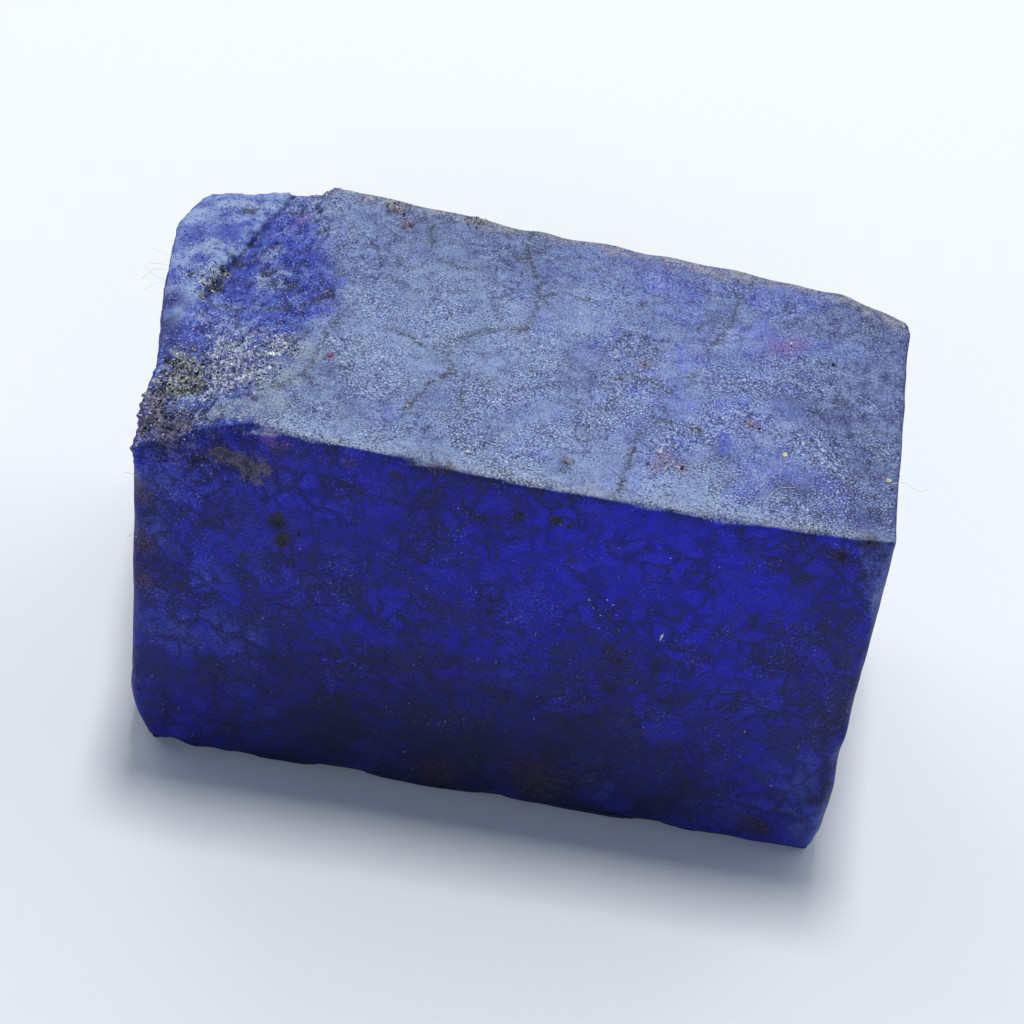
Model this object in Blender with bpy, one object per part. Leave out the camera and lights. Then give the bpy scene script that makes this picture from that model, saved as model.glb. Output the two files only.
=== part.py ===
"""A rough sapphire: one block of opaque blue corundum, sawn on its six sides and broken at one upper end.

Lengths are in millimetres and become metres where the mesh is made. X runs along the block, Y from its front
face to its back face, and Z up. The block stands on its flat sawn base.
"""

import math
import random

import bmesh
import bpy
from mathutils import Vector, noise
from mathutils.bvhtree import BVHTree
from mathutils.geometry import delaunay_2d_cdt

MM = 0.001

# The sawn block. Its sides aren't quite square to each other, so each corner has a place of its own.
BLOCK = Vector((38.0, 20.0, 23.2))  # nominal sides, for distances along the block
HEIGHT = BLOCK.z
FRONT = -11.4
FRONT_LEFT, FRONT_RIGHT = -17.9, 20.3
BACK_LEFT, BACK_RIGHT = -20.4, 20.7
DEPTH_LEFT, DEPTH_RIGHT = 22.65, 19.8
CORNERS = {  # 1 for the right, back or top side of the block: the corner's X, Y and Z
    (0, 0, 0): (FRONT_LEFT, FRONT - 0.15, 0.0),
    (1, 0, 0): (FRONT_RIGHT, FRONT - 0.15, 0.0),
    (0, 1, 0): (BACK_LEFT + 0.4, FRONT + DEPTH_LEFT - 0.7, 0.0),
    (1, 1, 0): (BACK_RIGHT - 0.2, FRONT + DEPTH_RIGHT - 0.4, 0.0),
    (0, 0, 1): (FRONT_LEFT - 0.1, FRONT, HEIGHT + 0.7),
    (1, 0, 1): (FRONT_RIGHT - 0.5, FRONT, HEIGHT - 0.5),
    (0, 1, 1): (BACK_LEFT, FRONT + DEPTH_LEFT, HEIGHT + 0.1),
    (1, 1, 1): (BACK_RIGHT, FRONT + DEPTH_RIGHT, HEIGHT),
}
TOP_SAG = 0.55  # the top's front edge dips this much at its middle

# The mesh: loops of edges, closer together beside the block's edges and in the broken end.
EDGE_LOOPS = (0.2, 0.55, 1.1)
PITCH = 1.3
BREAK_PITCH = 0.72
BREAK_LENGTH = 11.0

# Sawn edges are worn to small radii that change along each edge, and faces are a little uneven.
TOP_WEAR = 0.2
BASE_WEAR = 0.35
UNEVEN = ((7.0, 0.10), (2.2, 0.06))  # (size, height) of the waves in a face

# The broken end: the corners of its fracture facets, as X, Y and Z. They are read from above.
BREAK_RIM = (
    (-11.3, 12.5, 23.5),
    (-11.5, 8.0, 23.3),
    (-10.4, 3.0, 23.3),
    (-9.8, 0.0, 23.3),
    (-11.3, -3.2, 23.4),
    (-12.6, -6.5, 23.4),
    (-12.4, -8.4, 23.5),
    (-13.0, -12.5, 23.6),
)
BREAK_HOLLOW = (
    (-13.2, 12.5, 22.5),
    (-14.6, 8.6, 21.6),
    (-12.9, 4.6, 22.3),
    (-15.7, 5.2, 21.3),
    (-12.4, 0.4, 22.0),
    (-14.6, 1.2, 21.5),
    (-16.5, 1.9, 21.1),
    (-13.2, -2.6, 22.4),
    (-15.6, -2.0, 21.4),
    (-17.1, -1.0, 20.9),
    (-14.6, -4.8, 22.3),
    (-16.4, -6.2, 20.9),
    (-14.4, -8.4, 22.9),
    (-15.6, -9.4, 22.1),
    (-15.2, -12.5, 22.6),
    (-16.6, -12.5, 21.5),
)
BREAK_LEDGE = (
    (-15.2, 9.4, 22.2),
    (-16.3, 5.4, 22.2),
    (-17.0, 2.2, 22.0),
    (-17.8, -0.8, 21.7),
)
BREAK_OUTER = (
    (-15.4, 12.5, 21.8),
    (-18.9, 12.5, 21.0),
    (-20.6, 12.5, 17.8),
    (-19.9, 8.0, 21.2),
    (-19.8, 2.0, 21.5),
    (-19.2, -3.0, 21.0),
    (-18.6, -6.4, 20.4),
    (-18.3, -9.0, 21.2),
    (-18.4, -12.5, 20.2),
    (-23.0, 12.5, 16.0),
    (-23.0, 6.0, 19.6),
    (-23.0, -2.0, 19.4),
    (-23.0, -12.5, 18.6),
)
BREAK_FLOOR = 10.0  # the break leaves the stone below this height as it was
HACKLE = ((1.7, 0.30), (0.8, 0.14))  # (size, height) of the splinters on the broken facets

# Chips knocked off the block: the centre and radius of the ball that each hollow fits.
CHIPS = (
    ((-12.4, -13.1, 23.9), 2.0),
    ((-30.7, -16.4, -1.0), 14.9),
    ((-28.3, -4.5, 22.0), 10.0),
    ((21.2, -12.9, 23.6), 2.2),
    ((25.0, 18.5, 28.8), 14.0),
    ((21.6, -12.8, -0.9), 2.3),
    ((-21.4, 12.6, 4.0), 2.6),
    ((9.0, 12.2, -1.6), 4.0),
)

# Small nicks along the edges of the block.
NICK_SPACING = 2.4
NICK_DEPTH = (0.12, 0.50)
NICK_RADIUS = (1.0, 2.2)
NICK_SEED = 11


def clear_scene():
    for obj in list(bpy.data.objects):
        bpy.data.objects.remove(obj, do_unlink=True)


def loop_places(length, dense_length):
    """Distances from one end at which a side of the block is sliced into loops of edges."""
    places = [*EDGE_LOOPS, *(length - place for place in EDGE_LOOPS)]
    at = max(EDGE_LOOPS)
    while at < length - max(EDGE_LOOPS) - PITCH:
        at += BREAK_PITCH if at < dense_length else PITCH
        places.append(at)
    return places


def sliced_block():
    """A box from 0 to BLOCK, sliced into a closed net of four-sided faces."""
    bm = bmesh.new()
    bmesh.ops.create_cube(bm, size=1.0)
    bmesh.ops.translate(bm, verts=bm.verts, vec=(0.5, 0.5, 0.5))
    bmesh.ops.scale(bm, verts=bm.verts, vec=BLOCK)
    for axis, dense_length in enumerate((BREAK_LENGTH, 0.0, 0.0)):
        along = Vector([float(i == axis) for i in range(3)])
        for place in loop_places(BLOCK[axis], dense_length):
            everything = bm.verts[:] + bm.edges[:] + bm.faces[:]
            bmesh.ops.bisect_plane(bm, geom=everything, plane_co=along * place, plane_no=along, dist=1e-4)
    return bm


def waves(place, layers):
    """Smooth noise at a place, as a sum of (size, height) layers."""
    return sum(height * noise.noise(place / size) for size, height in layers)


def worn(place):
    """Rounds the square block's edges: a point near an edge moves in onto a small arc."""
    wear = BASE_WEAR + (TOP_WEAR - BASE_WEAR) * place.z / BLOCK.z
    wear *= 1.0 + 0.7 * noise.noise(place / 2.5)
    core = Vector([min(max(place[i], wear), BLOCK[i] - wear) for i in range(3)])
    out = place - core
    return core + out.normalized() * min(out.length, wear)


def between_corners(place):
    """The point of the real, slightly crooked block that stands for one in the square block."""
    share = [place[i] / BLOCK[i] for i in range(3)]
    point = Vector()
    for sides, corner in CORNERS.items():
        weight = math.prod(part if side else 1.0 - part for part, side in zip(share, sides))
        point += weight * Vector(corner)
    middle = math.sin(math.pi * share[0])
    point.z -= TOP_SAG * middle * (1.0 - share[1]) * share[2]
    return point


def fracture_facets():
    """The facets of the broken end, as a surface to look down on."""
    points = BREAK_RIM + BREAK_HOLLOW + BREAK_LEDGE + BREAK_OUTER
    triangles = delaunay_2d_cdt([Vector(point[:2]) for point in points], [], [], 0, 1e-5)[2]
    return BVHTree.FromPolygons(points, triangles)


def broken(point, top, facets):
    """Lowers a point of the block to the fracture facets, and what is under it in proportion."""
    hit = facets.ray_cast(Vector((point.x, point.y, 2.0 * HEIGHT)), Vector((0.0, 0.0, -1.0)))[0]
    if hit is None or hit.z >= top:
        return point
    depth = top - hit.z
    depth += waves(Vector((point.x, point.y, 0.0)), HACKLE) * min(depth, 1.0)
    share = max(point.z - BREAK_FLOOR, 0.0) / (top - BREAK_FLOOR)
    return point - Vector((0.0, 0.0, depth * share))


def uneven(point):
    """Moves a point by the waves of its face, and leaves the base flat."""
    push = Vector([waves(point + Vector((31.0 * i, 0.0, 0.0)), UNEVEN) for i in range(3)])
    push.z *= min(point.z, 1.0)
    return point + push


def edge_nicks():
    """Balls that nick the twelve edges of the block, as (centre, radius)."""
    dice = random.Random(NICK_SEED)
    nicks = []
    for axis in range(3):
        across = [i for i in range(3) if i != axis]
        for sides in ((0, 0), (0, 1), (1, 0), (1, 1)):
            place, out = Vector(), Vector()
            for i, side in zip(across, sides):
                place[i] = BLOCK[i] * side
                out[i] = 2.0 * side - 1.0
            place[axis] = dice.uniform(0.5, 1.5) * NICK_SPACING
            while place[axis] < BLOCK[axis] - 1.0:
                radius, depth = dice.uniform(*NICK_RADIUS), dice.uniform(*NICK_DEPTH)
                centre = between_corners(place) + out.normalized() * (radius - depth)
                nicks.append((centre, radius))
                place[axis] += dice.uniform(0.5, 1.5) * NICK_SPACING
    return nicks


def chipped(point, balls):
    """Pushes a point that is inside a ball out onto it, which hollows the stone there."""
    for centre, radius in balls:
        out = point - centre
        if out.length < radius:
            point = centre + out.normalized() * radius
    return point


def stone_mesh():
    bm = sliced_block()
    facets = fracture_facets()
    balls = [(Vector(centre), radius) for centre, radius in CHIPS] + edge_nicks()
    for vertex in bm.verts:
        square = vertex.co.copy()
        top = between_corners(Vector((square.x, square.y, BLOCK.z))).z
        point = broken(between_corners(worn(square)), top, facets)
        point = chipped(uneven(point), balls)
        vertex.co = Vector((point.x, point.y, max(point.z, 0.0)))
    low = Vector([min(v.co[i] for v in bm.verts) for i in range(3)])
    high = Vector([max(v.co[i] for v in bm.verts) for i in range(3)])
    base_centre = Vector(((low.x + high.x) / 2, (low.y + high.y) / 2, low.z))
    bmesh.ops.translate(bm, verts=bm.verts, vec=-base_centre)
    bmesh.ops.scale(bm, verts=bm.verts, vec=(MM, MM, MM))
    bmesh.ops.triangulate(bm, faces=bm.faces)
    mesh = bpy.data.meshes.new("rough_sapphire")
    bm.to_mesh(mesh)
    bm.free()
    return mesh


def corundum():
    """Opaque deep blue stone with a dull sawn surface."""
    material = bpy.data.materials.new("blue corundum")
    material.use_nodes = True
    shader = material.node_tree.nodes["Principled BSDF"]
    shader.inputs["Base Color"].default_value = (0.03, 0.04, 0.26, 1.0)
    shader.inputs["Roughness"].default_value = 0.6
    shader.inputs["Metallic"].default_value = 0.0
    shader.inputs["IOR"].default_value = 1.77
    return material


clear_scene()
stone = bpy.data.objects.new("rough_sapphire", stone_mesh())
stone.data.materials.append(corundum())
bpy.context.scene.collection.objects.link(stone)
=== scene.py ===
import math
import random

import bmesh
import bpy
import numpy as np
from mathutils import Euler, Matrix, Vector, noise
from mathutils.bvhtree import BVHTree


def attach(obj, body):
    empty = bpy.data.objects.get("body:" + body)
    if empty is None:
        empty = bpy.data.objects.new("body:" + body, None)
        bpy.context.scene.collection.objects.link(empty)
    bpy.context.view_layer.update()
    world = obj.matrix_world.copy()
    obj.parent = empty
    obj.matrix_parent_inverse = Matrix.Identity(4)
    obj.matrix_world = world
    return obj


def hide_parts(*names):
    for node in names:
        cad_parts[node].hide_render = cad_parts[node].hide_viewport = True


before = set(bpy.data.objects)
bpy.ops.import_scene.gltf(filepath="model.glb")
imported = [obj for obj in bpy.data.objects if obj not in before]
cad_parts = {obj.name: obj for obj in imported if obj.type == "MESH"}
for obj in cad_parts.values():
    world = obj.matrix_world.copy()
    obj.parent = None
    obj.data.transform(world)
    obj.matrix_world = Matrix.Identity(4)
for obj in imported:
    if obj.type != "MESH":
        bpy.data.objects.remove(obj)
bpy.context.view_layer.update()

# --- The stone -----------------------------------------------------------------------------------------
# One sawn block of opaque blue corundum, its upper left end broken off along several fracture facets. The
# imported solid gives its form; this adds what saw, breakage and wear leave on a real one: faint saw waves,
# a splintered, crumbly break with a step where a flake lifted off, nicked edges, open pits and crazing.

MM = 0.001
HALF_LENGTH, HALF_DEPTH, HALF_HEIGHT = 20.5, 11.4, 11.7  # mm
FLAT_BASE = 0.12  # mm: what lies lower than this is the sawn base, and stays flat
BREAK_START = -9.5  # mm: the break lies to the left of this X
BREAK_FOOT = 19.5  # mm: and above this height

# Lines on the top, as X and Y in mm. The rim is where the sawn top ends and the break begins.
BREAK_RIM = (
    (-11.8, 12.0), (-12.0, 8.4), (-11.2, 4.8), (-10.2, 2.0), (-9.8, 0.0), (-10.6, -1.8), (-12.0, -3.2),
    (-12.9, -4.6), (-12.6, -6.6), (-11.8, -8.4), (-11.6, -12.0),
)
FLAKE_STEP = ((-14.2, 10.8), (-15.3, 8.4), (-16.4, 4.3), (-17.3, 1.1), (-18.3, -2.6))
BACK_EDGE = ((-12.0, 10.7), (16.6, 8.6), (20.6, 6.4))
CRACKS = (
    ((-0.7, 9.7), (-0.9, 8.3), (-0.7, 7.4), (-0.1, 5.3), (0.2, 3.9), (0.2, 2.8), (0.0, 1.1), (-0.5, 0.7),
     (-2.0, 0.3), (-3.1, -0.6), (-3.8, -1.3), (-4.0, -2.1), (-3.7, -2.7), (-3.2, -3.7), (-2.8, -4.5),
     (-2.7, -5.6), (-2.3, -6.5)),
    ((-4.0, -2.2), (-5.1, -2.1), (-6.3, -1.3), (-7.2, -1.2)),
    ((-5.3, -7.4), (-4.4, -5.0), (-3.2, -3.7)),
    ((-6.3, 8.4), (-5.8, 5.9), (-6.0, 5.2), (-5.1, 5.5), (-4.3, 5.1), (-3.0, 5.5), (-1.9, 6.4), (-0.9, 7.1)),
    ((0.1, 3.5), (0.8, 4.2), (1.9, 4.5), (2.8, 4.3)),
    ((11.6, 8.2), (11.0, 6.6), (10.7, 5.2), (10.6, 4.1), (9.9, 2.7), (9.6, 1.8), (9.5, 0.1), (8.7, -0.8),
     (7.6, -2.1), (7.3, -2.8), (7.5, -3.7), (7.2, -4.6), (6.5, -5.6), (6.3, -7.2), (6.1, -8.5), (5.9, -9.9),
     (5.6, -11.6)),
    ((7.6, -2.1), (6.8, -1.6), (5.4, -1.5), (4.4, -2.4), (3.7, -3.1)),
    ((7.4, -4.6), (8.1, -4.6), (8.7, -4.6), (9.4, -4.8), (10.3, -5.9)),
    ((10.5, 3.9), (9.7, 4.4), (9.2, 4.1), (8.6, 3.2)),
    ((-9.5, -0.3), (-10.1, -2.3), (-10.2, -3.6), (-10.4, -5.6), (-11.0, -6.8), (-11.9, -7.8)),
    ((-17.2, 1.0), (-16.5, 0.8), (-15.0, 0.6), (-13.6, 0.3), (-12.1, 0.6), (-10.8, 0.4)),
)
SCRATCHES = (
    ((-5.1, 1.8), (-4.5, 1.2), (-3.9, 0.4)),
    ((-8.8, -8.0), (-7.0, -6.2), (-5.2, -5.0), (-4.6, -4.2)),
    ((12.6, -8.6), (13.6, -7.2), (14.1, -6.1)),
    ((7.2, -9.9), (8.8, -9.3), (10.1, -9.0)),
)

SAW_WAVES = ((3.2, 0.030), (0.9, 0.016))  # (size, height) in mm
SPLINTERS = ((1.7, 0.34), (0.75, 0.22))
GRAINS = ((0.62, 0.20), (0.34, 0.13))
CRUMBLE = ((0.55, 0.22), (0.30, 0.12))
STEP_DEPTH = 0.15
STEP_GROOVE = 0.16  # mm: half the width of the groove under the flake's step
STEP_OFFSET = 0.10  # mm that the groove lies to the right of the step
PITS = (  # centre and radius in mm of the hollows left by grains that fell out
    ((-10.75, -11.3, 17.6), 0.42), ((-10.4, -11.3, 16.4), 0.35), ((1.2, -11.3, 20.6), 0.30),
    ((3.1, -11.3, 20.7), 0.26), ((17.2, -11.3, 21.5), 0.34), ((18.4, -11.3, 22.5), 0.30),
    ((7.7, -7.1, 22.95), 0.34), ((8.6, -8.0, 22.95), 0.28), ((6.3, -0.4, 23.15), 0.22),
)
NICKS = 420
NICK_RADIUS = (0.25, 0.9)
NICK_DEPTH = 0.16
NICK_SEED = 5
SHARP_EDGE = math.radians(28)
CORNER_FACET = 0.42  # mm that the worn facet beside the front's upper right corner goes in
CORNER_WIDTH = 3.0  # mm over which it gets that deep
CORNER_X, CORNER_Z = 17.3, 23.0  # mm: where its left border meets the top
CORNER_LEAN = 0.33  # how far that border leans to the right on its way down
FOOT_ROUNDING = 0.5  # mm
FOOT_HEIGHT = 1.1  # mm that the rounding reaches up
CORNER_PUSHES = (  # corners that are fuller or rounder than the saw left them: middle, reach and push in mm
    ((-17.5, -10.8, 2.7), 2.6, (-0.36, -0.10, 0.0)), ((19.7, -11.0, 4.4), 3.2, (0.15, -0.04, 0.0)),
    ((20.0, -11.3, 0.0), 2.0, (-0.22, 0.12, 0.0)), ((19.6, 7.2, 22.6), 3.0, (0.06, 0.34, 0.0)),
)

# Where the stone is dirty, dusty, freshly broken or of another colour: the round spots, as their middle
# (X, Y, Z) and radius in mm, that make each patch up.
PATCHES = {
    "dusty_top": (
        ((-7.0, -1.5, 23.2), 5.5), ((-1.5, -0.5, 23.2), 5.0), ((2.5, -7.5, 22.9), 5.0),
        ((-4.5, 4.5, 23.2), 3.6), ((9.0, -9.5, 22.8), 3.5), ((3.0, 3.0, 23.2), 3.0),
    ),
    "fresh": (
        ((-12.6, 4.6, 22.6), 1.5), ((-11.4, 2.0, 22.8), 1.6), ((-11.4, -0.4, 22.8), 1.6),
        ((-13.2, 0.4, 22.2), 1.1), ((-15.4, 0.9, 21.4), 1.2), ((-13.5, 7.2, 22.2), 1.2),
        ((-12.2, -2.4, 23.0), 1.1), ((-17.4, -1.7, 21.2), 0.7), ((-18.6, 6.8, 21.4), 1.2),
        ((-14.6, 8.6, 22.0), 0.7), ((-17.6, 8.2, 21.4), 0.8), ((-19.0, 5.6, 21.6), 0.8),
        ((-18.9, 2.4, 21.6), 0.9), ((-18.6, 0.4, 21.6), 0.8), ((-18.4, 3.9, 21.8), 0.5),
    ),
    "dusty": (
        ((-15.2, -1.8, 21.6), 1.5), ((-14.0, -2.8, 22.2), 1.5), ((-16.0, -8.2, 21.8), 1.2),
        ((-15.0, -9.6, 22.7), 1.3), ((-17.9, 2.6, 21.5), 1.1), ((-14.2, 3.2, 22.0), 1.3),
        ((-17.6, 5.0, 21.5), 1.2), ((-16.6, 9.3, 21.6), 1.2), ((-14.6, 5.4, 22.0), 0.9),
        ((-13.4, 10.0, 22.4), 1.5), ((-12.3, 8.8, 22.8), 1.2), ((-12.2, 10.8, 22.8), 1.2),
        ((-11.5, 6.8, 22.9), 0.9), ((-15.8, -0.7, 21.6), 0.9), ((-16.8, -0.3, 21.4), 0.7),
    ),
    "olive": (
        ((-17.2, -4.4, 21.2), 1.1), ((-16.6, -5.6, 21.2), 1.4), ((-17.3, -6.4, 21.1), 1.3),
        ((-15.8, -6.6, 21.8), 1.0), ((-17.1, 2.3, 21.5), 0.6), ((-16.7, 3.3, 21.6), 0.5),
        ((-17.4, 1.2, 21.4), 0.4),
    ),
    "navy": (
        ((-18.5, -1.6, 21.2), 1.1), ((-18.9, 0.3, 21.5), 1.0), ((-18.1, -2.9, 21.1), 0.8),
        ((-16.9, -3.0, 21.3), 0.6),
    ),
    "pale": (
        ((-14.2, -5.0, 22.6), 1.7), ((-13.4, -6.6, 23.2), 1.5), ((-14.6, -7.4, 22.8), 1.4),
        ((-12.2, -4.0, 23.2), 1.1), ((-15.2, -3.6, 21.8), 1.2),
    ),
    "grey": (
        ((-12.8, -9.4, 23.4), 1.5), ((-13.9, -9.8, 23.2), 1.2), ((-11.7, -9.0, 23.4), 1.1),
        ((-11.6, -6.6, 23.3), 1.2), ((-12.3, -7.9, 23.3), 1.1), ((-11.0, -4.6, 23.3), 0.9),
    ),
    "brown": (
        ((-17.6, -9.4, 21.3), 1.6), ((-16.4, -10.4, 21.9), 1.5), ((-17.8, -7.6, 21.2), 1.0),
        ((-8.4, 9.6, 23.2), 0.7), ((-7.6, 8.4, 23.2), 0.5), ((-3.9, 9.8, 23.2), 0.6),
        ((3.1, -9.0, 22.7), 0.4),
    ),
    "stain": (
        ((-13.8, -11.2, 21.4), 0.65), ((-13.2, -11.2, 21.2), 0.65), ((-12.6, -11.2, 21.0), 0.85),
        ((-12.2, -11.2, 20.6), 0.85), ((-11.6, -11.2, 20.9), 0.55),
    ),
    "spot": (
        ((-5.1, -11.1, 21.9), 0.4), ((-2.6, -10.9, 22.8), 0.45),
        ((17.1, -11.2, 21.5), 0.6), ((18.4, -11.2, 22.6), 0.6), ((-10.4, -11.2, 16.4), 0.7),
        ((4.5, -11.3, 2.0), 1.8), ((-1.0, -11.3, 1.2), 1.4), ((16.6, -11.3, 1.6), 1.2),
    ),
    "pitted": (
        ((-10.75, -11.2, 17.6), 0.62), ((-10.4, -11.2, 16.5), 0.45), ((1.2, -11.2, 20.6), 0.42),
        ((3.1, -11.2, 20.7), 0.42), ((3.7, -11.2, 20.5), 0.34), ((4.2, -11.2, 18.4), 0.34),
    ),
    "ruddy": (
        ((-17.8, -11.0, 18.0), 1.0), ((-17.9, -11.0, 14.6), 1.1), ((-17.8, -11.0, 12.2), 1.0),
        ((-3.2, -11.0, 22.8), 0.42), ((-7.4, -11.1, 22.2), 0.45), ((-11.0, -11.2, 22.4), 0.6),
    ),
    "rust": (
        ((7.9, -7.3, 22.8), 0.7), ((8.7, -7.9, 22.8), 0.6), ((7.5, -8.3, 22.7), 0.5),
        ((6.3, -0.4, 23.0), 0.45), ((-9.6, -4.4, 23.2), 0.4), ((12.3, -3.7, 22.9), 0.6),
    ),
    "magenta": (
        ((13.6, 3.0, 23.1), 1.0), ((14.4, 3.6, 23.1), 0.8), ((-11.4, -11.1, 22.8), 0.6),
        ((-13.4, 8.4, 22.2), 0.8),
    ),
    "scuffed": (
        ((-16.0, -11.0, 8.6), 2.2), ((-12.4, -11.2, 9.2), 1.8), ((-17.0, -11.0, 18.6), 1.8),
        ((-17.2, -11.0, 15.6), 1.4), ((17.6, -11.2, 6.0), 2.0),
    ),
    "vivid": (((10.7, -4.9, 22.8), 0.42), ((10.9, -5.5, 22.8), 0.42), ((10.7, -6.1, 22.8), 0.36)),
}


def signed_distance(points, line):
    """Distance in mm from points to a line of straight runs seen from above, positive on its left."""
    nearest = np.full(len(points), np.inf)
    side = np.ones(len(points))
    for start, end in zip(np.array(line[:-1]), np.array(line[1:])):
        along = end - start
        share = np.clip((points - start) @ along / (along @ along), 0.0, 1.0)
        gap = points - start - share[:, None] * along
        length = np.hypot(gap[:, 0], gap[:, 1])
        closer = length < nearest
        nearest[closer] = length[closer]
        side[closer] = np.sign(along[0] * gap[closer, 1] - along[1] * gap[closer, 0])
    return nearest * side


def ramp(values, low, high):
    """A smooth rise from 0 at low to 1 at high."""
    share = np.clip((values - low) / (high - low), 0.0, 1.0)
    return share * share * (3.0 - 2.0 * share)


def noise_at(points, size):
    """Smooth noise, mostly from -0.5 to 0.5, with waves size mm wide."""
    return np.array([noise.noise(Vector(point) / size) for point in points])


def grains_at(points, size):
    """Rounded grains size mm wide: 0.5 at the middle of each one, 0 and less in between."""
    return np.array([0.5 - noise.voronoi(Vector(point) / size)[0][0] for point in points])


def cell_at(points, size):
    """Of the grain size mm wide that each point is in: how near its middle the point is, and its tint."""
    found = [noise.voronoi(Vector(point) / size) for point in points]
    middle = np.array([0.5 - distances[0] for distances, _ in found])
    tint = np.array([noise.noise(7.3 * centres[0]) for _, centres in found])
    return middle, tint


def patch_field(points, spots):
    """1 at the middle of a spot, 0 at its edge and less beyond, whichever spot is the nearest."""
    fields = [1.0 - np.linalg.norm(points - np.array(centre), axis=1) / radius for centre, radius in spots]
    return np.maximum(np.max(fields, axis=0), -1.0)


def is_broken(edge):
    middle = (edge.verts[0].co + edge.verts[1].co) / 2 / MM
    return middle.x < BREAK_START and middle.z > BREAK_FOOT


def smooth_stone():
    """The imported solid's net of four-sided faces, smoothed, and cut finer still across the break."""
    net = bmesh.new()
    net.from_mesh(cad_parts["rough_sapphire"].data)
    bmesh.ops.remove_doubles(net, verts=net.verts, dist=0.001 * MM)
    bmesh.ops.join_triangles(
        net, faces=net.faces, angle_face_threshold=math.radians(60), angle_shape_threshold=math.radians(60)
    )
    mesh = bpy.data.meshes.new("net")
    net.to_mesh(mesh)
    net.free()
    piece = bpy.data.objects.new("net", mesh)
    bpy.context.scene.collection.objects.link(piece)
    smooth = piece.modifiers.new("smooth", "SUBSURF")
    smooth.levels = smooth.render_levels = 2
    seen = piece.evaluated_get(bpy.context.evaluated_depsgraph_get())
    fine = bmesh.new()
    fine.from_mesh(seen.to_mesh())
    bpy.data.objects.remove(piece)
    rough = [edge for edge in fine.edges if is_broken(edge)]
    bmesh.ops.subdivide_edges(fine, edges=rough, cuts=1, use_grid_fill=True)
    return fine


def nick_places(mesh, dice):
    """Random points on the edges of the block."""
    sharp = [edge for edge in mesh.edges if len(edge.link_faces) == 2 and edge.calc_face_angle() > SHARP_EDGE]
    return [edge.verts[0].co / MM for edge in dice.choices(sharp, k=NICKS)]


stone_mesh = smooth_stone()
stone_mesh.normal_update()
smooth_places = np.array([vertex.co / MM for vertex in stone_mesh.verts])
normals = np.array([vertex.normal for vertex in stone_mesh.verts])
seen_from_above = smooth_places[:, :2]
inside_break = -signed_distance(seen_from_above, BREAK_RIM)
broken = ramp(inside_break, -0.2, 0.9) * ramp(smooth_places[:, 2], 19.0, 20.5)
left_of_step = -signed_distance(seen_from_above, FLAKE_STEP)
spots = {name: patch_field(smooth_places, patch) for name, patch in PATCHES.items()}
crumbly = np.max([spots["olive"], spots["pale"], spots["brown"], spots["dusty"] - 0.3], axis=0)
crumbly = ramp(crumbly, -0.3, 0.5) * ramp(smooth_places[:, 2], 19.5, 20.5)

waves = sum(height * noise_at(smooth_places, size) for size, height in SAW_WAVES)
rough = np.nonzero(np.maximum(broken, crumbly) > 0.0)[0]
calm = 1.0 - 0.62 * ramp(left_of_step, 0.1, 0.7)
grains = np.zeros(len(smooth_places))
splinters = np.zeros(len(smooth_places))
grains[rough] = sum(height * grains_at(smooth_places[rough], size) for size, height in GRAINS)
splinters[rough] = sum(
    height * (0.25 - np.abs(noise_at(smooth_places[rough], size))) for size, height in SPLINTERS
)
crumbs = sum(height * noise_at(smooth_places[rough], size) for size, height in CRUMBLE)
splinters[rough] += crumbs * crumbly[rough]
rough_relief = (splinters + grains) * np.maximum(broken * calm, crumbly)
relief = waves * (1.0 - broken) + rough_relief
groove = np.exp(-((left_of_step + STEP_OFFSET) / STEP_GROOVE) ** 2) * ramp(seen_from_above[:, 1], 0.0, 2.0)
relief -= STEP_DEPTH * broken * groove
places = smooth_places + normals * relief[:, None]

beside_corner = places[:, 0] - CORNER_X - CORNER_LEAN * (CORNER_Z - places[:, 2])
deepening = np.clip(beside_corner / CORNER_WIDTH, 0.0, 1.0)
places[:, 1] += CORNER_FACET * deepening * ramp(places[:, 1], -10.0, -11.0)

for middle, reach, push in CORNER_PUSHES:
    from_middle = np.linalg.norm(places - np.array(middle), axis=1)
    places += np.array(push) * ramp(from_middle, reach, 0.3)[:, None]

dice = random.Random(NICK_SEED)
hollows = list(PITS)
for place in nick_places(stone_mesh, dice):
    radius = dice.uniform(*NICK_RADIUS)
    outward = Vector((place.x / HALF_LENGTH, place.y / HALF_DEPTH, place.z / HALF_HEIGHT - 1.0))
    hollows.append((place + outward.normalized() * (radius - NICK_DEPTH * dice.random()), radius))
for centre, radius in hollows:
    out = places - np.array(centre)
    gap = np.linalg.norm(out, axis=1)
    hit = gap < radius
    places[hit] = np.array(centre) + out[hit] * (radius / gap[hit])[:, None]

base = smooth_places[:, 2] < FLAT_BASE
places[:, 2] = np.where(base, smooth_places[:, 2], places[:, 2])
places[:, 2] = np.maximum(places[:, 2], 0.0)
# The foot is worn round: the lower an edge of the sides lies, the further in it is.
sideways = np.where(normals[:, 2:] > -0.9, normals, 0.0) * (1.0, 1.0, 0.0)
rounding = FOOT_ROUNDING * (1.0 - 0.7 * ramp(places[:, 0], 6.0, 14.0))
rounding *= ramp(places[:, 2], FOOT_HEIGHT, 0.0) ** 2
places -= sideways * rounding[:, None]
for vertex, place in zip(stone_mesh.verts, places):
    vertex.co = Vector(place) * MM

mesh = bpy.data.meshes.new("sapphire_stone")
stone_mesh.to_mesh(mesh)
stone_mesh.free()
mesh.shade_smooth()
stone = bpy.data.objects.new("sapphire_stone", mesh)
bpy.context.scene.collection.objects.link(stone)
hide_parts("rough_sapphire")
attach(stone, "root")


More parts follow.
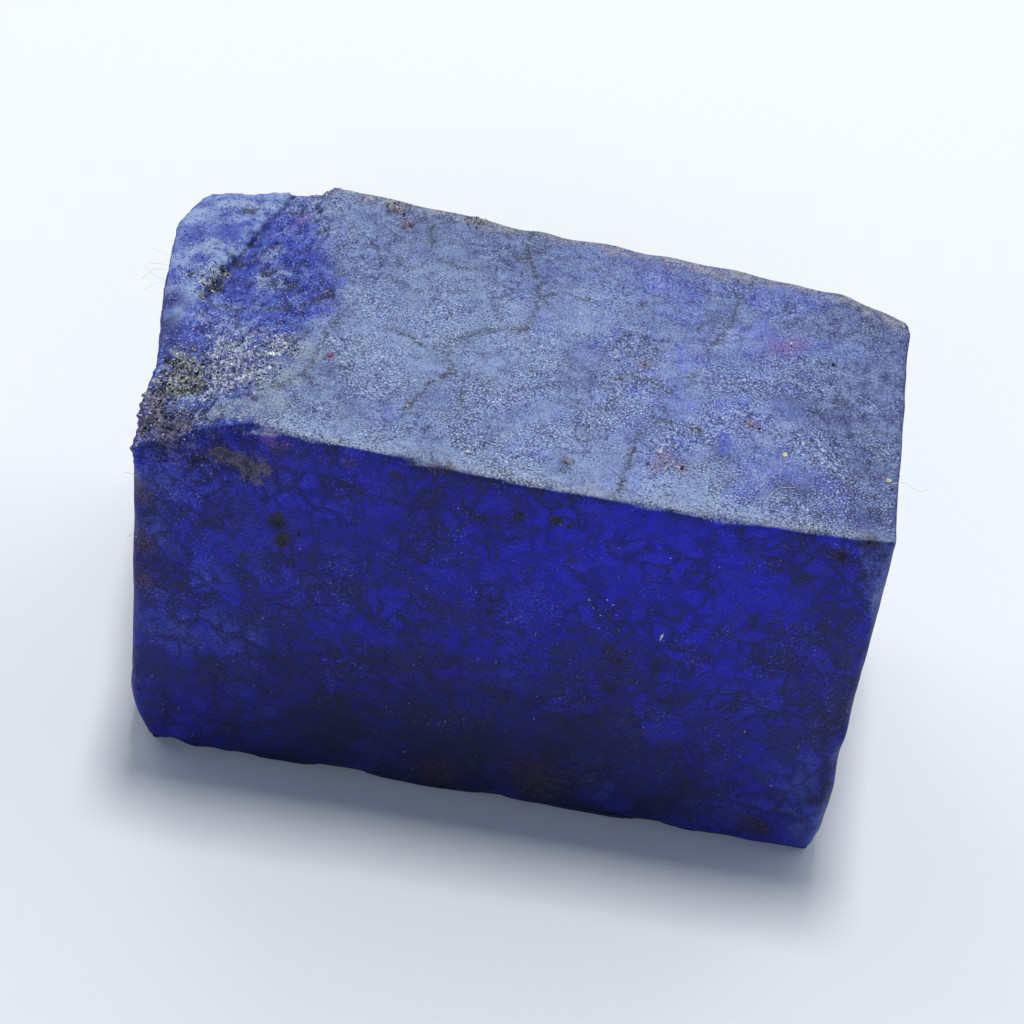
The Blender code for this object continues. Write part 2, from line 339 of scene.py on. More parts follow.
def store(piece, name, values):
    attribute = piece.data.attributes.new(name, "FLOAT", "POINT")
    attribute.data.foreach_set("value", values.astype(np.float32))


def distance_to_nearest(lines):
    """Distance in mm from each point of the stone to whichever line is nearest, positive on its left."""
    distances = np.array([signed_distance(seen_from_above, line) for line in lines])
    nearest = np.argmin(np.abs(distances), axis=0)
    return distances[nearest, np.arange(len(nearest))]


# What the finish has to know of each point: how far it is from the break, its step and the cracks, how much
# dust and painted sheen it has, how rich its blue is with its painted light and shade, and how crisp its
# grain.
east, north, up = places.T
on_top = ramp(normals[:, 2], 0.45, 0.85)
big_cloud = noise_at(smooth_places, 6.0)
cloud = noise_at(smooth_places, 2.3)
small_cloud = noise_at(smooth_places, 1.1)

# Haze on what faces up, partly dust and partly painted sheen: thickest in the dusty spots and along the front
# edge, thinner to the back and right.
dust_and_sheen_top = 0.58 - 0.06 * ramp(north, 3.0, 8.0) * ramp(east, -6.0, 0.0)
dust_and_sheen_top = dust_and_sheen_top + 0.11 * ramp(spots["dusty_top"], -0.1, 0.8) - 0.06 * ramp(east, 9.0, 19.0)
dust_and_sheen_top += 0.05 * big_cloud + 0.09 * cloud + 0.12 * small_cloud + 0.16 * ramp(north, -8.6, -11.0)
dust_and_sheen_top -= 0.14 * ramp(east, 13.5, 18.0) * ramp(north, -6.0, -10.0)
# Haze on the sides: thicker to the left, at the lower right, on the scuffed spots and on the worn edges.
haze_side = 0.03 + 0.11 * ramp(east, -6.0, -17.0) + 0.14 * ramp(big_cloud + 0.5 * cloud, 0.10, 0.75)
haze_side += 0.28 * ramp(beside_corner, 0.0, 0.5) + 0.14 * ramp(up, 9.0, 2.0) * ramp(east, 8.0, 17.0)
haze_side += 0.08 * ramp(up, 14.0, 20.0) * ramp(east, 0.0, -12.0)
haze_side += 0.12 * ramp(east, 16.8, 18.8) * ramp(up, 19.0, 14.0)
haze_side += 0.13 * ramp(spots["scuffed"], -0.1, 0.5) - 0.05 * ramp(up, 8.0, 3.0) * ramp(east, 12.0, 6.0)
haze_side += 0.12 * ramp(np.abs(normals[:, 0]), 0.08, 0.45) * ramp(normals[:, 1], -0.3, -0.6)
# The blue is richest in the front's upper part, right of the middle, and the sides grow brighter upwards:
# partly the stone's own tone and partly painted light. It is duller at the right end, lower down, and most of
# all on the top.
richness_and_painted_light = 0.37 + 0.05 * ramp(east, -8.0, -14.0) + 0.33 * ramp(east, -5.0, 8.0) * ramp(up, 9.0, 18.0)
richness_and_painted_light = richness_and_painted_light + 0.10 * big_cloud + 0.14 * cloud
richness_and_painted_light += 0.10 * ramp(up, 12.0, 20.0) + 0.07 * ramp(up, 8.0, 13.0) - 0.40 * on_top
richness_and_painted_light -= (0.46 * ramp(up, 6.0, 15.0) - 0.06) * ramp(east, 12.5, 19.0)
# Painted shade: the sides darken towards the foot, less so at the left and hardly at the right. They also
# darken just under the middle of the top's front edge.
shade = 0.90 * ramp(up + 0.8 * big_cloud + 0.5 * cloud, 13.5, 1.0) * (1.0 - 0.95 * ramp(east, 8.0, 17.0))
shade *= 1.0 - 0.60 * ramp(east, -8.0, -15.0)
# Rounded lighter grains, about two millimetres wide, each with a tint of its own.
wander = 0.5 * np.stack([small_cloud, cloud, -small_cloud], axis=1)
grain_middle, grain_tint = cell_at(smooth_places + wander, 2.3)
haze_side += 0.16 * (grain_middle - 0.08) + 0.10 * grain_tint
richness_and_painted_light += 0.30 * grain_tint
shade = np.clip(shade * (1.0 - 0.45 * (grain_middle + 0.6 * grain_tint)), 0.0, 0.92)
under_edge = ramp(up + 0.4 * small_cloud, 21.9, 22.6) * ramp(np.abs(east - 2.0), 10.0, 5.0)
shade = np.maximum(shade, 0.6 * under_edge)
haze_side = np.maximum(haze_side, 0.0)
# The grain sparkles in zones, partly painted glints: on the top and the break more towards the front, and on
# the sides less.
sparkle_zone = noise_at(smooth_places + 19.0, 2.6)
sparkle = (0.30 + 0.70 * ramp(north, 6.0, -3.0)) * ramp(sparkle_zone, -0.30, 0.25) * on_top
sparkle *= 1.0 - 0.8 * ramp(spots["grey"], -0.2, 0.3)
sparkle = np.maximum(sparkle, 0.75 * broken * ramp(north, 6.0, 1.0) * ramp(sparkle_zone, -0.45, 0.0))
sparkle += 0.42 * ramp(sparkle_zone + 0.25 * ramp(np.abs(up - 15.0), 4.0, 0.0), 0.05, 0.45) * (1.0 - on_top)
store(stone, "dust_and_sheen", dust_and_sheen_top * on_top + haze_side * (1.0 - on_top))
store(stone, "richness_and_painted_light", richness_and_painted_light)
store(stone, "shade", shade * (1.0 - on_top))
store(stone, "craze", ramp(cloud - 0.4 * big_cloud, -0.35, 0.30) * (1.0 - 0.55 * np.abs(normals[:, 0])))
store(stone, "up_facing", on_top)
store(stone, "crisp", ramp(up, 5.0, 11.0) * (1.0 - on_top))
store(stone, "relief", rough_relief)
store(stone, "grains", grains)
store(stone, "mottle", small_cloud + 0.6 * cloud)
store(stone, "sparkle", sparkle)

crack = distance_to_nearest(CRACKS)
store(stone, "crack", np.clip(crack, -2.0, 2.0))
store(stone, "crack_near", (1.0 - ramp(np.abs(crack), 0.35, 0.9)) * on_top * ramp(small_cloud, -0.6, 0.15))
scratch = np.where(on_top > 0.5, distance_to_nearest(SCRATCHES), 2.0)
store(stone, "scratch", np.clip(scratch, -2.0, 2.0))
store(stone, "inside_break", np.clip(np.where(up > 19.0, inside_break, -3.0), -3.0, 3.0))
store(stone, "left_of_step", np.clip(left_of_step, -3.0, 3.0))
store(stone, "step_near", (1.0 - ramp(np.abs(left_of_step), 0.5, 1.2)) * broken * ramp(north, 0.0, 2.0))
from_back_edge = np.abs(signed_distance(seen_from_above, BACK_EDGE))
rim = ramp(from_back_edge + 0.8 * small_cloud, 1.15, 0.35)
rim = np.maximum(rim, 0.6 * ramp(north + 0.5 * small_cloud, -10.1, -11.1) * (east > -13.0))
store(stone, "rim", rim * on_top)
shake = np.stack([noise_at(smooth_places + offset, 1.3) for offset in (0.0, 31.0, 67.0)], axis=1)
attribute = mesh.attributes.new("shake", "FLOAT_VECTOR", "POINT")
attribute.data.foreach_set("vector", shake.astype(np.float32).ravel())


class Finish:
    """A material that is wired up node by node."""

    def __init__(self, name):
        self.material = bpy.data.materials.new(name)
        self.material.use_nodes = True
        self.tree = self.material.node_tree
        self.shader = self.tree.nodes["Principled BSDF"]
        self.place = self.vector("SCALE", self.node("ShaderNodeTexCoord", {}).outputs["Object"], 1.0 / MM)

    def feed(self, socket, value):
        if isinstance(value, bpy.types.NodeSocket):
            self.tree.links.new(value, socket)
        elif socket.type == "RGBA":
            socket.default_value = (*value, 1.0)
        else:
            socket.default_value = value

    def node(self, kind, sockets, **settings):
        made = self.tree.nodes.new(kind)
        for name, value in settings.items():
            setattr(made, name, value)
        for key, value in sockets.items():
            self.feed(made.inputs[key], value)
        return made

    def vector(self, operation, first, second):
        key = "Scale" if operation == "SCALE" else 1
        return self.node("ShaderNodeVectorMath", {0: first, key: second}, operation=operation).outputs[0]

    def math(self, operation, first, second=0.0):
        return self.node("ShaderNodeMath", {0: first, 1: second}, operation=operation).outputs[0]

    def add(self, *values):
        total = values[0]
        for value in values[1:]:
            total = self.math("ADD", total, value)
        return total

    def times(self, *values):
        product = values[0]
        for value in values[1:]:
            product = self.math("MULTIPLY", product, value)
        return product

    def stored(self, name, output="Fac"):
        return self.node("ShaderNodeAttribute", {}, attribute_name=name).outputs[output]

    def noise(self, size, detail=2.0, roughness=0.55):
        """Cloudy noise from 0 to 1 whose features are about size mm wide."""
        sockets = {"Vector": self.place, "Scale": 1.0 / size, "Detail": detail, "Roughness": roughness}
        return self.node("ShaderNodeTexNoise", sockets).outputs["Fac"]

    def rise(self, value, low, high, top=1.0):
        """A smooth rise from 0 at low to top at high; low may be above high, for a fall."""
        sockets = {"Value": value, "From Min": low, "From Max": high, "To Min": 0.0, "To Max": top}
        if low > high:
            sockets.update({"From Min": high, "From Max": low, "To Min": top, "To Max": 0.0})
        return self.node("ShaderNodeMapRange", sockets, interpolation_type="SMOOTHSTEP").outputs["Result"]

    def mix(self, first, second, share):
        return self.node("ShaderNodeMix", {0: share, 6: first, 7: second}, data_type="RGBA").outputs[2]

    def bump(self, height, depth):
        """Raises the surface by depth mm where height is 1."""
        sockets = {"Height": height, "Distance": depth * MM, "Strength": 1.0}
        self.feed(self.shader.inputs["Normal"], self.node("ShaderNodeBump", sockets).outputs["Normal"])

    def assign(self, piece):
        piece.data.materials.clear()
        piece.data.materials.append(self.material)


# Opaque ultramarine corundum, crazed all over into grains a millimetre or two wide with dark seams between
# them. What faces up has a pale grey-blue haze, partly dust left by handling and partly painted sheen, and a
# sparkling fine grain whose sparkles are partly painted glints.
DEEP_BLUE = (0.010, 0.013, 0.125)
BRIGHT_BLUE = (0.009, 0.009, 0.54)
SEAM_AND_SHADE = (0.006, 0.007, 0.030)
SHADE = (0.004, 0.0045, 0.034)
DUST_AND_SHEEN = (0.225, 0.305, 0.475)
THIN_DUST_AND_SHEEN = (0.064, 0.098, 0.325)
WHITE_GRAIN_AND_GLINT = (0.60, 0.65, 0.68)
DARK_GRAIN = (0.022, 0.027, 0.07)
SCOOP_DEEP, SCOOP_BLUE, SCOOP_PALE = (0.009, 0.016, 0.17), (0.036, 0.070, 0.37), (0.22, 0.30, 0.52)
FLAKE_BLUE, FLAKE_PALE = (0.036, 0.062, 0.33), (0.24, 0.325, 0.52)
RIM_BROWN, RIM_GREY = (0.11, 0.11, 0.14), (0.30, 0.31, 0.33)
CREVICE_SHADE_AND_DIRT = (0.010, 0.012, 0.035)
CRACK_DIRT, CRACK_DARK = (0.060, 0.078, 0.120), (0.020, 0.025, 0.045)
PATCH_COLOURS = (  # patch, its dull and its light colour, and how much it covers (0.9 at most)
    ("fresh", (0.006, 0.010, 0.15), (0.066, 0.105, 0.48), 0.60),
    ("dusty", (0.080, 0.105, 0.28), (0.33, 0.39, 0.50), 0.60),
    ("navy", (0.007, 0.008, 0.035), (0.030, 0.042, 0.25), 0.80),
    ("olive", (0.026, 0.032, 0.046), (0.36, 0.39, 0.36), 0.85),
    ("pale", (0.082, 0.095, 0.19), (0.52, 0.56, 0.65), 0.85),
    ("grey", (0.13, 0.165, 0.24), (0.24, 0.285, 0.36), 0.80),
    ("brown", (0.020, 0.017, 0.034), (0.17, 0.150, 0.185), 0.85),
    ("spot", (0.006, 0.005, 0.014), (0.034, 0.023, 0.045), 0.80),
    ("pitted", (0.004, 0.005, 0.010), (0.026, 0.028, 0.030), 1.3),
    ("ruddy", (0.020, 0.013, 0.048), (0.110, 0.062, 0.105), 0.60),
    ("stain", (0.050, 0.040, 0.070), (0.125, 0.108, 0.150), 1.2),
    ("rust", (0.07, 0.05, 0.11), (0.22, 0.13, 0.16), 0.6),
    ("magenta", (0.10, 0.045, 0.22), (0.20, 0.10, 0.30), 0.5),
    ("vivid", (0.020, 0.035, 0.30), (0.045, 0.075, 0.45), 0.7),
)
MEDIUM_CLOUDS = (0.55, 4.0, 0.62)  # size in mm, detail and roughness of the noise
FINE_CLOUDS = (0.112, 2.0, 0.62)
BUMP_CLOUDS = (0.16, 2.0, 0.6)
BUMP_DEPTH = 0.060  # mm
CRAZE_SIZE = 1.35  # mm from seam to seam

finish = Finish("blue_corundum")
top = finish.stored("up_facing")
medium = finish.noise(*MEDIUM_CLOUDS)
fine = finish.noise(*FINE_CLOUDS)
ragged = finish.math("SUBTRACT", medium, 0.5)
grainy = finish.math("SUBTRACT", fine, 0.5)

# Crazing: the seams between grains, wandering, thick and thin, with painted shade beside them, and a net of
# hairlines.
shaken = finish.vector("ADD", finish.place, finish.stored("shake", "Vector"))
shaken = finish.vector("ADD", shaken, finish.vector("SCALE", (1.0, -0.8, 0.9), finish.times(ragged, 0.40)))
cells = {"Vector": shaken, "Scale": 1.0 / CRAZE_SIZE, "Randomness": 1.0}
seam_gap = finish.node("ShaderNodeTexVoronoi", cells, feature="DISTANCE_TO_EDGE").outputs["Distance"]
seam_gap = finish.add(seam_gap, finish.times(grainy, 0.15), finish.times(ragged, 0.08))
crisp = finish.stored("crisp")  # how sharply the grain of the sides shows
crazed = finish.add(0.26, finish.times(finish.stored("craze"), 0.62), finish.times(crisp, 0.16))
seams = finish.times(finish.rise(seam_gap, 0.070, -0.01), crazed)
seams = finish.times(seams, finish.rise(finish.add(medium, grainy), 0.76, 0.44))
# Painted shade: a soft darkening on either side of each seam.
seam_shade = finish.times(finish.rise(seam_gap, 0.30, 0.0), crazed, 0.62)
cell_tint = finish.node("ShaderNodeTexVoronoi", cells, feature="F1").outputs["Color"]
cell_tint = finish.math("SUBTRACT", cell_tint, 0.5)
hair_place = finish.math("ABSOLUTE", finish.add(ragged, 0.03))
hairlines = finish.times(finish.rise(hair_place, 0.026, 0.0), finish.rise(fine, 0.62, 0.38))
hairlines = finish.times(hairlines, finish.add(0.42, finish.times(crisp, 0.36)))
blotches = finish.times(finish.rise(finish.add(medium, finish.times(grainy, 0.4)), 0.54, 0.74), 0.45)
dark = finish.math("MAXIMUM", finish.math("MAXIMUM", seams, seam_shade), finish.math("MAXIMUM", hairlines, blotches))

tone = finish.times(ragged, finish.add(0.8, finish.times(crisp, 0.5)))
tone = finish.add(tone, finish.times(grainy, finish.add(0.7, finish.times(crisp, 0.8))))
# Partly painted light: the sides' blue is brighter higher up.
tone = finish.add(finish.stored("richness_and_painted_light"), tone)
tone = finish.add(tone, finish.times(cell_tint, 0.42))
blue = finish.mix(DEEP_BLUE, BRIGHT_BLUE, finish.rise(tone, 0.05, 1.05))
blue = finish.mix(blue, SEAM_AND_SHADE, dark)
# Painted shade on the sides, darkest towards the foot.
blue = finish.mix(blue, SHADE, finish.stored("shade"))

# The haze: scuffs and dust, and on what faces up painted sheen as well.
sparkle = finish.stored("sparkle")
dust_and_sheen_grain = finish.times(grainy, finish.add(0.92, finish.times(sparkle, 1.2), finish.times(crisp, 0.15)))
dust_and_sheen_grain = finish.add(dust_and_sheen_grain, finish.times(ragged, finish.add(0.65, finish.times(crisp, 0.45))))
dust_and_sheen_grain = finish.times(dust_and_sheen_grain, finish.add(0.20, finish.times(top, 0.80), finish.times(crisp, 0.28)))
dust_and_sheen_share = finish.add(finish.stored("dust_and_sheen"), dust_and_sheen_grain, finish.times(dark, -0.30))
dust_and_sheen_share = finish.rise(dust_and_sheen_share, -0.05, 0.95, 0.95)
dust_and_sheen = finish.mix(THIN_DUST_AND_SHEEN, DUST_AND_SHEEN, finish.rise(finish.add(finish.stored("dust_and_sheen"), dust_and_sheen_grain), 0.0, 0.85))
colour = finish.mix(blue, dust_and_sheen, dust_and_sheen_share)

# The break: a scoop of clean splintered blue, and beyond its step a smoother, paler flake.
mottle = finish.stored("mottle")
grain_top = finish.add(finish.times(finish.stored("grains"), 3.2), finish.times(ragged, 1.6))
grain_top = finish.add(grain_top, finish.times(grainy, 1.5), finish.times(mottle, 0.55))
scoop = finish.mix(SCOOP_DEEP, SCOOP_BLUE, finish.rise(grain_top, -0.50, 0.15))
scoop = finish.mix(scoop, SCOOP_PALE, finish.rise(grain_top, 0.0, 0.80, 0.95))
flake_tone = finish.add(medium, finish.times(grainy, 0.55), finish.times(mottle, 0.22))
flake = finish.mix(FLAKE_BLUE, FLAKE_PALE, finish.rise(flake_tone, 0.30, 0.74))
on_flake = finish.rise(finish.add(finish.stored("left_of_step"), finish.times(ragged, 0.5)), -0.05, 0.25)
break_share = finish.rise(finish.add(finish.stored("inside_break"), finish.times(ragged, 3.2)), -0.6, 1.3)
break_share = finish.times(break_share, finish.rise(top, 0.0, 0.5))
colour = finish.mix(colour, finish.mix(scoop, flake, on_flake), break_share)

# Patches of dirt and of other colours.
gritty = finish.rise(finish.add(fine, finish.times(ragged, 0.5)), 0.40, 0.62)
for name, dull, light, share in PATCH_COLOURS:
    store(stone, name, spots[name])
    patch = finish.add(finish.stored(name), finish.times(ragged, 2.2), grainy)
    patch = finish.rise(patch, -0.15, 0.75, share)
    patch = finish.math("MINIMUM", patch, 0.9)
    colour = finish.mix(colour, finish.mix(dull, light, gritty), patch)

# A greyer, browner rim along the back edge, and a fainter one along the front edge.
rim_share = finish.times(finish.stored("rim"), finish.rise(medium, 0.28, 0.56), 0.75)
colour = finish.mix(colour, finish.mix(RIM_BROWN, RIM_GREY, gritty), rim_share)

# Crevices of the break are darker: painted shade, and the dirt they hold.
crevice_shade_and_dirt = finish.rise(finish.add(finish.stored("relief"), finish.times(ragged, 0.16)), -0.05, -0.14)
colour = finish.mix(colour, CREVICE_SHADE_AND_DIRT, finish.times(crevice_shade_and_dirt, 0.7))

# Fine grain: sparse white sparkles, partly painted glints, and dark specks, strongest on what faces up.
sparkling = finish.add(0.05, finish.times(top, 0.34), finish.times(sparkle, 0.70), finish.times(crisp, 0.06))
white = finish.rise(finish.add(fine, finish.times(ragged, 0.35), finish.times(sparkle, 0.05)), 0.66, 0.78)
black = finish.rise(finish.add(fine, finish.times(ragged, 0.45), finish.times(sparkle, -0.04)), 0.38, 0.26)
colour = finish.mix(colour, WHITE_GRAIN_AND_GLINT, finish.times(white, sparkling, 0.70))
colour = finish.mix(colour, DARK_GRAIN, finish.times(black, sparkling, 0.85))
# Short pale hairs of scuffed stone and scratches, and dark ones between them.
pale_hair = finish.rise(finish.math("ABSOLUTE", finish.add(ragged, 0.085)), 0.016, 0.003)
pale_hair = finish.times(pale_hair, finish.rise(finish.add(fine, finish.times(sparkle, 0.08)), 0.52, 0.66))
dark_hair = finish.rise(finish.math("ABSOLUTE", finish.add(ragged, -0.055)), 0.018, 0.003)
dark_hair = finish.times(dark_hair, finish.rise(fine, 0.52, 0.36))
colour = finish.mix(colour, WHITE_GRAIN_AND_GLINT, finish.times(pale_hair, finish.add(0.08, finish.times(top, 0.45))))
colour = finish.mix(colour, DARK_GRAIN, finish.times(dark_hair, finish.add(0.30, finish.times(top, 0.35))))

# Cracks, beaded and broken up, with dirt along them, and the painted shadow line under the flake's step.
off_crack = finish.math("ABSOLUTE", finish.add(finish.stored("crack"), finish.times(ragged, 1.1)))
near_crack = finish.stored("crack_near")
beads = finish.rise(finish.add(fine, finish.times(ragged, 1.2)), 0.66, 0.36)
crack_edge = finish.add(off_crack, finish.times(grainy, 0.55))
crack_line = finish.times(finish.rise(crack_edge, 0.19, 0.02), near_crack)
crack_line = finish.times(crack_line, finish.add(0.45, finish.times(beads, 0.55)))
crack_dirt = finish.times(finish.rise(crack_edge, 0.60, 0.0), near_crack)
crack_dirt = finish.times(crack_dirt, finish.add(0.15, finish.times(beads, 0.40)))
colour = finish.mix(colour, CRACK_DIRT, crack_dirt)
colour = finish.mix(colour, CRACK_DARK, finish.times(crack_line, 0.85))
off_scratch = finish.math("ABSOLUTE", finish.add(finish.stored("scratch"), finish.times(ragged, 0.10)))
scratched = finish.rise(finish.add(medium, grainy), 0.40, 0.60)
scratched = finish.times(finish.rise(off_scratch, 0.045, 0.01), scratched)
colour = finish.mix(colour, WHITE_GRAIN_AND_GLINT, finish.times(scratched, 0.45))
off_step = finish.add(finish.stored("left_of_step"), STEP_OFFSET, finish.times(ragged, 0.25))
off_step = finish.math("ABSOLUTE", off_step)
# Painted shadow: the dark line along the flake's step.
step_shadow = finish.times(finish.rise(off_step, 0.24, 0.02), finish.stored("step_near"))
colour = finish.mix(colour, SEAM_AND_SHADE, finish.times(step_shadow, finish.rise(medium, 0.85, 0.35), 0.70))

finish.feed(finish.shader.inputs["Base Color"], colour)
finish.feed(finish.shader.inputs["Roughness"], finish.add(0.42, finish.times(medium, 0.3)))
finish.shader.inputs["IOR"].default_value = 1.77
finish.shader.inputs["Specular IOR Level"].default_value = 0.13
finish.bump(finish.noise(*BUMP_CLOUDS), BUMP_DEPTH)
finish.assign(stone)

# --- The grit ------------------------------------------------------------------------------------------
# Crumbs of the stone and grains of dust that cling to it: thick on the crumbly part of the break, thin on
# the sawn faces. Each is a chip with a few flat sides, sunk in the surface to just below its middle.

CHIP_COLOURS = {
    "white": (0.72, 0.75, 0.78), "lilac": (0.36, 0.35, 0.46), "pale_blue": (0.24, 0.31, 0.52),
    "blue": (0.020, 0.026, 0.36), "navy": (0.010, 0.012, 0.075), "black": (0.008, 0.009, 0.016),
    "olive": (0.13, 0.135, 0.095), "cream": (0.62, 0.57, 0.44), "tan": (0.24, 0.15, 0.11),
    "violet": (0.070, 0.050, 0.105), "grey": (0.20, 0.23, 0.27), "red": (0.22, 0.05, 0.06),
}
NAMED_CHIPS = (  # (X, Y) on the top, longest side in mm, colour
    ((3.1, -9.0), 0.28, "tan"), ((-0.8, 8.5), 0.24, "white"), ((7.2, 8.0), 0.28, "white"),
    ((4.8, -0.2), 0.36, "cream"), ((4.9, -0.4), 0.22, "black"), ((6.3, -0.4), 0.31, "tan"),
    ((6.5, -0.6), 0.25, "cream"), ((-5.2, -7.1), 0.34, "cream"), ((-1.8, -9.7), 0.39, "cream"),
    ((13.9, 3.4), 0.34, "cream"), ((19.2, -6.4), 0.48, "cream"), ((19.4, -6.9), 0.34, "tan"),
    ((-9.6, -4.4), 0.28, "red"), ((7.6, -7.0), 0.48, "white"), ((7.9, -7.7), 0.34, "lilac"),
    ((7.1, -8.1), 0.31, "tan"), ((8.8, -8.0), 0.31, "black"), ((9.2, -6.6), 0.25, "white"),
    ((12.3, -2.0), 0.22, "black"), ((13.9, -5.6), 0.42, "cream"), ((16.2, 2.2), 0.28, "black"),
    ((-2.3, 5.6), 0.18, "red"), ((9.0, 0.9), 0.21, "tan"), ((-3.8, 9.2), 0.35, "tan"),
    ((12.1, -3.7), 0.31, "tan"), ((12.5, -3.9), 0.22, "black"), ((2.6, 2.9), 0.17, "white"),
)
FRONT_CHIPS = (  # (X, Z) on the front, longest side in mm, colour
    ((5.4, 15.9), 0.17, "cream"), ((6.1, 15.0), 0.14, "white"), ((6.6, 15.8), 0.17, "white"),
    ((7.2, 14.2), 0.14, "cream"), ((3.0, 13.0), 0.24, "olive"), ((9.4, 14.3), 0.36, "cream"),
    ((5.7, 15.4), 0.13, "white"), ((6.3, 16.1), 0.11, "white"), ((6.9, 15.2), 0.11, "cream"),
    ((-9.6, 17.0), 0.31, "black"), ((-10.2, 17.6), 0.28, "navy"), ((1.3, 20.8), 0.31, "black"),
    ((3.3, 20.6), 0.25, "olive"), ((17.0, 21.6), 0.34, "violet"), ((18.3, 22.5), 0.39, "black"),
)
# Patch, how many chips, smallest and largest mm, and the colours, each named as often as it is common.
STREWN = (
    ("pale", 2200, (0.05, 0.20),
     ("white", "lilac", "lilac", "grey", "pale_blue", "pale_blue", "navy", "blue")),
    ("pale", 110, (0.16, 0.42), ("white", "lilac", "white", "grey", "pale_blue")),
    ("olive", 80, (0.16, 0.40), ("olive", "cream", "grey", "black")),
    ("brown", 60, (0.14, 0.34), ("lilac", "violet", "grey", "grey")),
    ("olive", 1500, (0.05, 0.22), ("olive", "olive", "grey", "black", "black", "grey", "cream", "violet")),
    ("brown", 1300, (0.05, 0.20),
     ("violet", "violet", "black", "grey", "lilac", "black", "grey", "lilac", "tan")),
    ("dusty", 1600, (0.04, 0.15), ("pale_blue", "pale_blue", "lilac", "blue", "navy", "grey")),
    ("fresh", 1500, (0.04, 0.15), ("blue", "blue", "pale_blue", "pale_blue", "navy", "lilac")),
    ("rust", 60, (0.06, 0.16), ("tan", "lilac", "red", "black", "white")),
    ("dusty_top", 700, (0.03, 0.08), ("white", "white", "pale_blue", "navy", "black", "cream")),
)
LOOSE_ON_ENDS = 80  # chips thrown at each end
LOOSE_ON_FACES = 420  # chips thrown at the front, and as many at the back; the top gets twice as many
LOOSE_REACH = ((-20.4, 20.4), (-11.3, 11.3), (0.6, 23.2))  # mm in X, Y and Z
LOOSE_SIZE = (0.03, 0.085)
LOOSE_COLOURS = ("white", "pale_blue", "navy", "black", "cream", "violet", "lilac", "white")
LOWEST_CHIP = 0.4  # mm above the floor
CHIP_RISE = 0.12  # of its length, that a chip's middle stands out of the surface
CHIP_CROOKED = 0.12  # of its length: the most that a corner is out of true
NEEDLES = 0.4  # of all chips
NEEDLE_WIDTH = 0.45  # of another chip's, for the same length
GRIT_SEED = 23
CHIP_CORNERS = ((1, 0, 0), (-1, 0, 0), (0, 1, 0), (0, -1, 0), (0, 0, 1), (0, 0, -1))
CHIP_FACES = ((0, 2, 4), (2, 1, 4), (1, 3, 4), (3, 0, 4), (2, 0, 5), (1, 2, 5), (3, 1, 5), (0, 3, 5))

surface = BVHTree.FromPolygons(
    [vertex.co / MM for vertex in mesh.vertices], [tuple(face.vertices) for face in mesh.polygons]
)
DOWN = Vector((0.0, 0.0, -1.0))
ABOVE = 30.0  # mm: a height clear of the stone
IN_FRONT = -20.0  # mm: a Y clear of its front
AWAY = 40.0  # mm: a distance clear of it on every side


def lands(start, direction):
    """Where a thing that flies from start in a direction meets the stone, and how the stone faces there."""
    place, facing, _, _ = surface.ray_cast(start, direction)
    return place, facing


dice = random.Random(GRIT_SEED)
corners, faces, tints = [], [], []


def add_chip(start, direction, length, colour):
    place, facing = lands(start, direction)
    if place is None or place.z < LOWEST_CHIP:
        return
    middle = place + facing * (CHIP_RISE * length)
    turn = Euler([dice.uniform(0.0, math.tau) for _ in range(3)]).to_matrix()
    slim = NEEDLE_WIDTH if dice.random() < NEEDLES else 1.0
    length /= math.sqrt(slim)
    width = 0.5 * length * slim * dice.uniform(0.45, 0.9)
    sizes = (0.5 * length, width, 0.5 * length * slim * dice.uniform(0.3, 0.7))
    first = len(corners)
    for corner in CHIP_CORNERS:
        crooked = [
            part * size + CHIP_CROOKED * length * dice.uniform(-1, 1) for part, size in zip(corner, sizes)
        ]
        corners.append(middle + turn @ Vector(crooked))
    faces.extend([[first + index for index in face] for face in CHIP_FACES])
    light = dice.uniform(0.9, 1.5)
    tints.extend([[min(1.0, light * part) for part in CHIP_COLOURS[colour]] + [1.0]] * len(CHIP_CORNERS))


for (x, y), length, colour in NAMED_CHIPS:
    add_chip(Vector((x, y, ABOVE)), DOWN, length, colour)
for (x, z), length, colour in FRONT_CHIPS:
    add_chip(Vector((x, IN_FRONT, z)), Vector((0.0, 1.0, 0.0)), length, colour)
for patch, count, (small, large), colours in STREWN:
    weights = [radius ** 2 for _, radius in PATCHES[patch]]
    for (x, y, z), radius in dice.choices(PATCHES[patch], weights, k=count):
        reach = radius * 1.15 * math.sqrt(dice.random())
        around = dice.uniform(0.0, math.tau)
        start = Vector((x + reach * math.cos(around), y + reach * math.sin(around), ABOVE))
        length = small + (large - small) * dice.random() ** 2.2
        add_chip(start, DOWN, length, dice.choice(colours))
for direction, count in (
    (Vector((0.0, 1.0, 0.0)), LOOSE_ON_FACES),
    (Vector((0.0, -1.0, 0.0)), LOOSE_ON_FACES),
    (Vector((1.0, 0.0, 0.0)), LOOSE_ON_ENDS),
    (Vector((-1.0, 0.0, 0.0)), LOOSE_ON_ENDS),
    (DOWN, 2 * LOOSE_ON_FACES),
):
    for _ in range(count):
        spot = Vector([dice.uniform(low, high) for low, high in LOOSE_REACH])
        length = LOOSE_SIZE[0] + (LOOSE_SIZE[1] - LOOSE_SIZE[0]) * dice.random() ** 2
        start = spot - direction * (direction.dot(spot) + AWAY)
        add_chip(start, direction, length, dice.choice(LOOSE_COLOURS))

